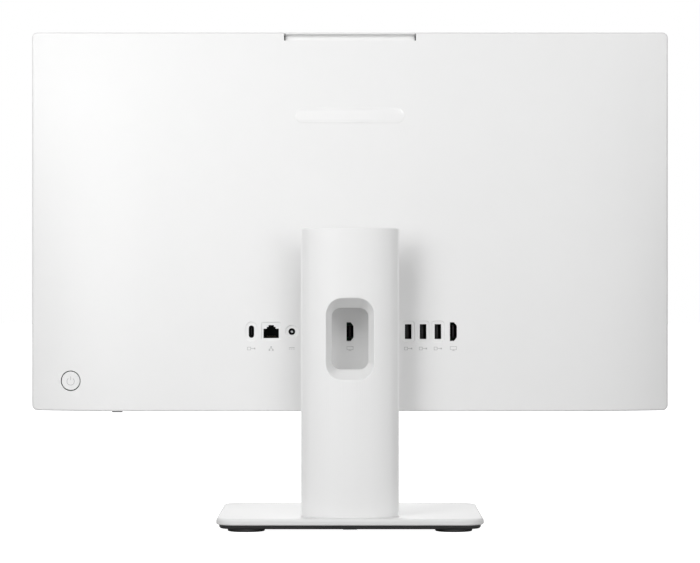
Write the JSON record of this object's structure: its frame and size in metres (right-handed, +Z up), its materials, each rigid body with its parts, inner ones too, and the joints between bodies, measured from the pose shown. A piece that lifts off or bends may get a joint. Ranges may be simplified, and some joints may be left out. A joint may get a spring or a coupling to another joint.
{
  "type": "all in one desktop computer",
  "caption": "All-in-one desktop computer: thin display head with the computer inside, rear ports and a pop-up camera, tilting on a column stand with a flat base.",
  "frame": {"origin": "on the desk, at the middle of the base; the screen faces -Y", "axes": "+X to the right as the user sees the screen, +Y towards the rear, +Z up"},
  "size_m": [0.54, 0.19, 0.4183],
  "materials": {
    "white_matte": "fine matte",
    "white_frame": "satin",
    "white_gloss": "gloss",
    "screen_black": "gloss",
    "black_plastic": "matte",
    "grey_plastic": "satin",
    "circuit_green": "solder mask",
    "steel": "plain",
    "zinc": "zinc plated",
    "aluminium": "satin",
    "copper": "copper, satin",
    "gold": "gold plated",
    "foot_rubber": "matte",
    "cable_black": "satin",
    "film_amber": "satin",
    "film_grey": "satin"
  },
  "bodies": {
    "stand": {"hinge_bracket_stand": "steel", "hinge_shaft": "steel", "hinge_washers": "steel", "hinge_nut": "zinc", "hinge_cover": "white_matte", "column_rear_shell": "white_matte", "column_front_shell": "white_frame", "column_spine": "steel", "base_top_cover": "white_matte", "base_plate": "steel", "base_bottom_cover": "black_plastic", "base_feet": "foot_rubber", "base_screws": "zinc", "spine_screws": "zinc"},
    "head": {"rear_cover": "white_matte", "front_frame": "white_frame", "screen_glass": "screen_black", "lcd_module": "steel", "chassis_plate": "steel", "badge": "white_gloss", "mainboard": "circuit_green", "board_components": "black_plastic", "cpu": "grey_plastic", "cold_plate": "copper", "heat_pipe": "copper", "heatsink_fins": "aluminium", "fan_housing": "black_plastic", "memory_sockets": "black_plastic", "memory_modules": "circuit_green", "ssd": "circuit_green", "wifi_card": "zinc", "antennas": "copper", "antenna_cables": "cable_black", "speaker_left": "black_plastic", "speaker_right": "black_plastic", "usb_a_shells": "zinc", "video_shells": "zinc", "port_tongues": "black_plastic", "usb_c_port": "zinc", "ethernet_jack": "black_plastic", "ethernet_contacts": "gold", "dc_jack": "black_plastic", "dc_pin": "zinc", "button_switches": "circuit_green", "camera_guides": "black_plastic", "camera_detent": "steel", "camera_cable": "film_amber", "display_cable": "film_grey", "hinge_bracket_head": "steel", "board_screws": "zinc", "bracket_screws": "zinc"},
    "camera_slide": {"camera_bar": "white_matte", "camera_window": "screen_black", "camera_lens": "screen_black", "camera_board": "circuit_green"},
    "power_key": {"power_button": "white_gloss"},
    "source_key": {"source_button": "grey_plastic"},
    "rotor": {"fan_rotor": "grey_plastic"},
    "lock": {"lock_screw": "zinc"},
    "ring": {"lock_ring": "zinc"}
  },
  "joints": [
    {"name": "tilt", "type": "hinge", "parent": "stand", "child": "head", "pos_m": [0, 0.0505, 0.2248], "axis": [-1, 0, 0], "range_deg": [-5, 20]},
    {"name": "camera_rise", "type": "slide", "parent": "head", "child": "camera_slide", "axis": [0, 0, 1], "range_m": [0, 0.018]},
    {"name": "power_press", "type": "slide", "parent": "head", "child": "power_key", "axis": [-0.2995, -0.9541, 0], "range_m": [0, 0.0006], "stiffness_N_per_m": 1500},
    {"name": "source_press", "type": "slide", "parent": "head", "child": "source_key", "axis": [0, 0, 1], "range_m": [0, 0.0005], "stiffness_N_per_m": 1500},
    {"name": "fan_spin", "type": "hinge", "parent": "head", "child": "rotor", "pos_m": [-0.14, 0.0167, 0.174], "axis": [0, 1, 0], "continuous": true},
    {"name": "lock_turn", "type": "hinge", "parent": "stand", "child": "lock", "pos_m": [0, 0.073, 0.006], "axis": [0, 0, 1], "continuous": true},
    {"name": "ring_fold", "type": "hinge", "parent": "lock", "child": "ring", "pos_m": [0, 0.073, 0.0023], "axis": [-1, 0, 0], "range_deg": [0, 90]}
  ]
}
